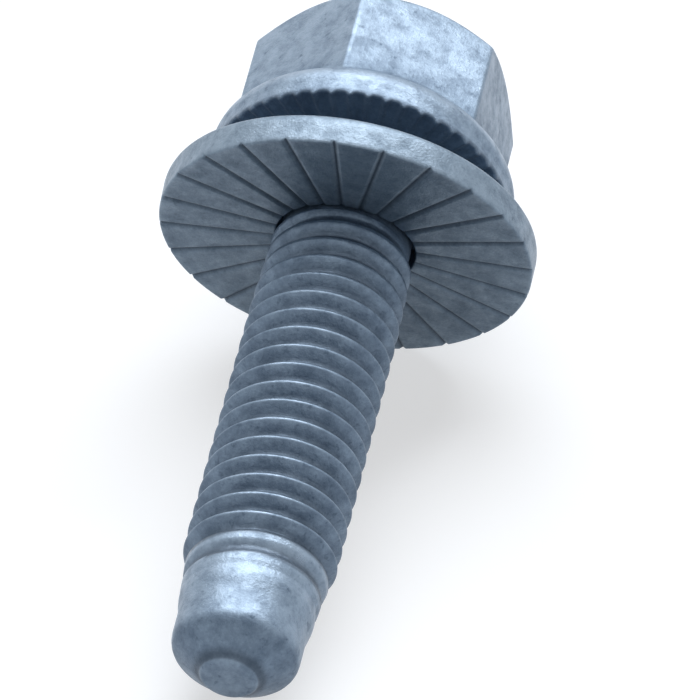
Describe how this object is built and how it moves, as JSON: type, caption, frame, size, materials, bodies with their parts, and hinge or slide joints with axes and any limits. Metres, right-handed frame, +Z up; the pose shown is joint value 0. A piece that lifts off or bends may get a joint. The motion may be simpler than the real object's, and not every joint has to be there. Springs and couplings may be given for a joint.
{
  "type": "flange screw with captive washer",
  "caption": "Hexagon flange screw with a loose grooved washer held captive below the toothed flange, a rolled thread, a smooth pilot and a short coned point.",
  "frame": {"origin": "bottom centre of the box round both pieces as they lie on a floor", "axes": "+Z up, +Y the way the head points along the floor, +X to the right of someone who looks from the point towards the head; the screw's axis slopes down to its point in the YZ plane"},
  "size_m": [0.02, 0.0424, 0.0191],
  "materials": {
    "screw_coating": "matt blue-grey zinc flake coating",
    "washer_coating": "matt blue-grey zinc flake coating"
  },
  "bodies": {
    "screw": {"screw": "screw_coating"},
    "washer": {"washer": "washer_coating"}
  },
  "joints": [
    {"name": "washer_spin", "type": "hinge", "parent": "screw", "child": "washer", "pos_m": [0, 0.00874, 0.00956], "axis": [0, 0.9251, 0.3798], "continuous": true}
  ]
}
